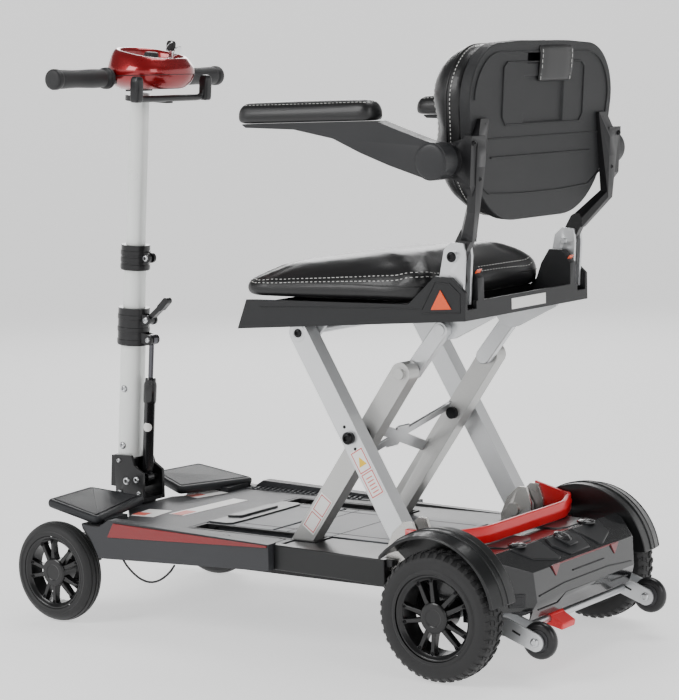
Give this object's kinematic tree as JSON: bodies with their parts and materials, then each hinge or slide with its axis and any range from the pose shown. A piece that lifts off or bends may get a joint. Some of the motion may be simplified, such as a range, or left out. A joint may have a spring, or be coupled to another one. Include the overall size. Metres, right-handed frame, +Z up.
{
  "type": "folding mobility scooter",
  "caption": "Folding electric scooter with a scissor-lift seat, folding backrest and armrests, a telescoping steering tiller, small wheels and rear anti-tip wheels.",
  "frame": {"origin": "on the ground under the middle of the machine", "axes": "+Z up, -Y forward, +X towards the left of the rider"},
  "size_m": [0.552, 1.04, 0.9834],
  "materials": {
    "frame_black": "satin",
    "deck_grey": "textured",
    "black_plastic": "textured",
    "housing_black": "gloss",
    "red_reflector": "gloss",
    "red_plastic": "satin",
    "red_paint": "gloss metallic",
    "silver_alu": "satin",
    "tube_alu": "satin",
    "link_alu": "satin",
    "battery_grey": "satin",
    "steel": "brushed",
    "pin_black": "satin",
    "rubber_black": "matte",
    "tyre_rubber": "matte",
    "rim_black": "satin",
    "leather_black": "grained",
    "panel_silver": "satin"
  },
  "bodies": {
    "chassis": {"main_frame": "frame_black", "foot_platforms": "black_plastic", "deck_front": "deck_grey", "side_reflectors": "red_reflector", "deck_rear": "deck_grey", "battery_pack": "battery_grey", "slide_rails": "frame_black", "rear_housing": "housing_black", "rear_fenders": "black_plastic", "lift_handle": "red_plastic", "leg_brackets": "steel", "transaxle": "frame_black", "anti_tip_forks": "silver_alu"},
    "anti_tip_left": {"anti_tip_wheel_left": "rubber_black"},
    "anti_tip_right": {"anti_tip_wheel_right": "rubber_black"},
    "freewheel_pedal": {"freewheel_pedal": "red_plastic"},
    "steering_stem": {"steering_stem": "pin_black"},
    "tie_rod_left": {"tie_rod_left": "steel"},
    "tie_rod_right": {"tie_rod_right": "steel"},
    "knuckle_left": {"knuckle_left": "frame_black"},
    "knuckle_right": {"knuckle_right": "frame_black"},
    "front_wheel_left": {"front_rim_left": "rim_black", "front_tyre_left": "tyre_rubber"},
    "front_wheel_right": {"front_rim_right": "rim_black", "front_tyre_right": "tyre_rubber"},
    "rear_wheel_left": {"rear_rim_left": "rim_black", "rear_tyre_left": "tyre_rubber"},
    "rear_wheel_right": {"rear_rim_right": "rim_black", "rear_tyre_right": "tyre_rubber"},
    "tiller": {"tiller_foot": "pin_black", "tiller_lower_tube": "tube_alu", "lower_clamp": "black_plastic"},
    "clamp_lever": {"clamp_lever": "pin_black"},
    "gas_cylinder": {"gas_cylinder": "pin_black"},
    "gas_rod": {"gas_rod": "steel"},
    "tiller_middle": {"tiller_middle_tube": "tube_alu", "upper_clamp": "black_plastic"},
    "tiller_upper": {"tiller_upper_tube": "tube_alu", "console_shell": "red_paint", "console_panel": "panel_silver", "handlebar": "pin_black", "handle_grips": "rubber_black"},
    "throttle": {"throttle_lever": "black_plastic"},
    "speed_dial": {"speed_dial": "black_plastic"},
    "ignition_key": {"ignition_key": "black_plastic"},
    "outer_legs": {"outer_legs": "silver_alu", "scissor_pins": "pin_black"},
    "inner_legs": {"inner_legs": "link_alu", "leg_brace": "silver_alu"},
    "seat": {"seat_brackets": "silver_alu", "seat_base": "black_plastic", "seat_cushion": "leather_black"},
    "seat_links": {"seat_links": "silver_alu"},
    "backrest": {"backrest_arms": "black_plastic", "backrest_shell": "black_plastic", "backrest_cushion": "leather_black"},
    "armrest_left": {"armrest_left": "black_plastic", "armrest_pad_left": "leather_black"},
    "armrest_right": {"armrest_right": "black_plastic", "armrest_pad_right": "leather_black"}
  },
  "joints": [
    {"name": "steer", "type": "hinge", "parent": "chassis", "child": "steering_stem", "pos_m": [0, -0.434, 0.14], "axis": [0, 0, 1], "range_deg": [-28, 28]},
    {"name": "tie_rod_left_swing", "type": "hinge", "parent": "steering_stem", "child": "tie_rod_left", "pos_m": [0, -0.389, 0.112], "axis": [0, 0, 1], "range_deg": [-29, 29]},
    {"name": "tie_rod_right_swing", "type": "hinge", "parent": "steering_stem", "child": "tie_rod_right", "pos_m": [0, -0.389, 0.086], "axis": [0, 0, 1], "range_deg": [-29, 29]},
    {"name": "knuckle_left_turn", "type": "hinge", "parent": "chassis", "child": "knuckle_left", "pos_m": [0.17, -0.434, 0.1], "axis": [0, 0, 1], "range_deg": [-29, 29]},
    {"name": "knuckle_right_turn", "type": "hinge", "parent": "chassis", "child": "knuckle_right", "pos_m": [-0.17, -0.434, 0.1], "axis": [0, 0, 1], "range_deg": [-29, 29]},
    {"name": "front_wheel_left_spin", "type": "hinge", "parent": "knuckle_left", "child": "front_wheel_left", "pos_m": [0.216, -0.434, 0.086], "axis": [1, 0, 0], "continuous": true},
    {"name": "front_wheel_right_spin", "type": "hinge", "parent": "knuckle_right", "child": "front_wheel_right", "pos_m": [-0.216, -0.434, 0.086], "axis": [1, 0, 0], "continuous": true},
    {"name": "rear_wheel_left_spin", "type": "hinge", "parent": "chassis", "child": "rear_wheel_left", "pos_m": [0.24, 0.356, 0.102], "axis": [1, 0, 0], "continuous": true},
    {"name": "rear_wheel_right_spin", "type": "hinge", "parent": "chassis", "child": "rear_wheel_right", "pos_m": [-0.24, 0.356, 0.102], "axis": [1, 0, 0], "continuous": true},
    {"name": "anti_tip_left_spin", "type": "hinge", "parent": "chassis", "child": "anti_tip_left", "pos_m": [0.1757, 0.491, 0.066], "axis": [1, 0, 0], "continuous": true},
    {"name": "anti_tip_right_spin", "type": "hinge", "parent": "chassis", "child": "anti_tip_right", "pos_m": [-0.1757, 0.491, 0.066], "axis": [1, 0, 0], "continuous": true},
    {"name": "pedal_press", "type": "hinge", "parent": "chassis", "child": "freewheel_pedal", "pos_m": [0.064, 0.45, 0.076], "axis": [-1, 0, 0], "range_deg": [0, 18]},
    {"name": "seat_fold", "type": "hinge", "parent": "chassis", "child": "outer_legs", "pos_m": [0, 0.2529, 0.191], "axis": [1, 0, 0], "range_deg": [0, 57]},
    {"name": "inner_leg_fold", "type": "hinge", "parent": "outer_legs", "child": "inner_legs", "pos_m": [0, 0.15814, 0.35187], "axis": [1, 0, 0], "range_deg": [-103, 0]},
    {"name": "seat_level", "type": "hinge", "parent": "outer_legs", "child": "seat", "pos_m": [0, 0.06338, 0.51273], "axis": [1, 0, 0], "range_deg": [-58, 0]},
    {"name": "seat_link_swing", "type": "hinge", "parent": "seat", "child": "seat_links", "pos_m": [0, 0.28334, 0.51913], "axis": [1, 0, 0], "range_deg": [0, 134]},
    {"name": "backrest_fold", "type": "hinge", "parent": "seat", "child": "backrest", "pos_m": [0, 0.353, 0.64], "axis": [-1, 0, 0], "range_deg": [-58, 0]},
    {"name": "armrest_left_lift", "type": "hinge", "parent": "backrest", "child": "armrest_left", "pos_m": [0.25, 0.37529, 0.7868], "axis": [1, 0, 0], "range_deg": [-95, 0]},
    {"name": "armrest_right_lift", "type": "hinge", "parent": "backrest", "child": "armrest_right", "pos_m": [-0.25, 0.37529, 0.7868], "axis": [1, 0, 0], "range_deg": [-95, 0]},
    {"name": "tiller_fold", "type": "hinge", "parent": "steering_stem", "child": "tiller", "pos_m": [0, -0.436, 0.212], "axis": [-1, 0, 0], "range_deg": [0, 41]},
    {"name": "clamp_lever_release", "type": "hinge", "parent": "tiller", "child": "clamp_lever", "pos_m": [0, -0.39455, 0.49734], "axis": [-1, 0, 0], "range_deg": [0, 70]},
    {"name": "gas_strut_swing", "type": "hinge", "parent": "steering_stem", "child": "gas_cylinder", "pos_m": [0, -0.413, 0.216], "axis": [-1, 0, 0], "range_deg": [0, 44]},
    {"name": "gas_rod_stroke", "type": "slide", "parent": "gas_cylinder", "child": "gas_rod", "axis": [0, 0.0868, 0.9962], "range_m": [-0.014, 0]},
    {"name": "middle_tube_height", "type": "slide", "parent": "tiller", "child": "tiller_middle", "axis": [0, 0.0797, 0.9968], "range_m": [-0.055, 0]},
    {"name": "upper_tube_height", "type": "slide", "parent": "tiller_middle", "child": "tiller_upper", "axis": [0, 0.0797, 0.9968], "range_m": [-0.24, 0]},
    {"name": "throttle_swing", "type": "hinge", "parent": "tiller_upper", "child": "throttle", "pos_m": [0, -0.40004, 0.88301], "axis": [0, 0.0797, 0.9968], "range_deg": [-12, 12], "stiffness_Nm_per_rad": 0.6},
    {"name": "speed_dial_turn", "type": "hinge", "parent": "tiller_upper", "child": "speed_dial", "pos_m": [0, -0.37038, 0.95747], "axis": [0, 0.0993, 0.9951], "range_deg": [0, 270]},
    {"name": "key_turn", "type": "hinge", "parent": "tiller_upper", "child": "ignition_key", "pos_m": [-0.015, -0.33963, 0.95339], "axis": [0, 0.0993, 0.9951], "range_deg": [0, 60]}
  ],
  "couplings": [
    {"joint": "tie_rod_left_swing", "follows": "steer", "ratio": -1},
    {"joint": "tie_rod_right_swing", "follows": "steer", "ratio": -1},
    {"joint": "knuckle_left_turn", "follows": "steer", "ratio": 1},
    {"joint": "knuckle_right_turn", "follows": "steer", "ratio": 1},
    {"joint": "inner_leg_fold", "follows": "seat_fold", "ratio": -1.7943},
    {"joint": "seat_level", "follows": "seat_fold", "ratio": -1},
    {"joint": "seat_link_swing", "follows": "seat_fold", "ratio": 2.3337},
    {"joint": "tiller_fold", "follows": "seat_fold", "ratio": 0.70175},
    {"joint": "gas_strut_swing", "follows": "seat_fold", "ratio": 0.74084},
    {"joint": "gas_rod_stroke", "follows": "seat_fold", "m_per_rad": -0.012995}
  ]
}
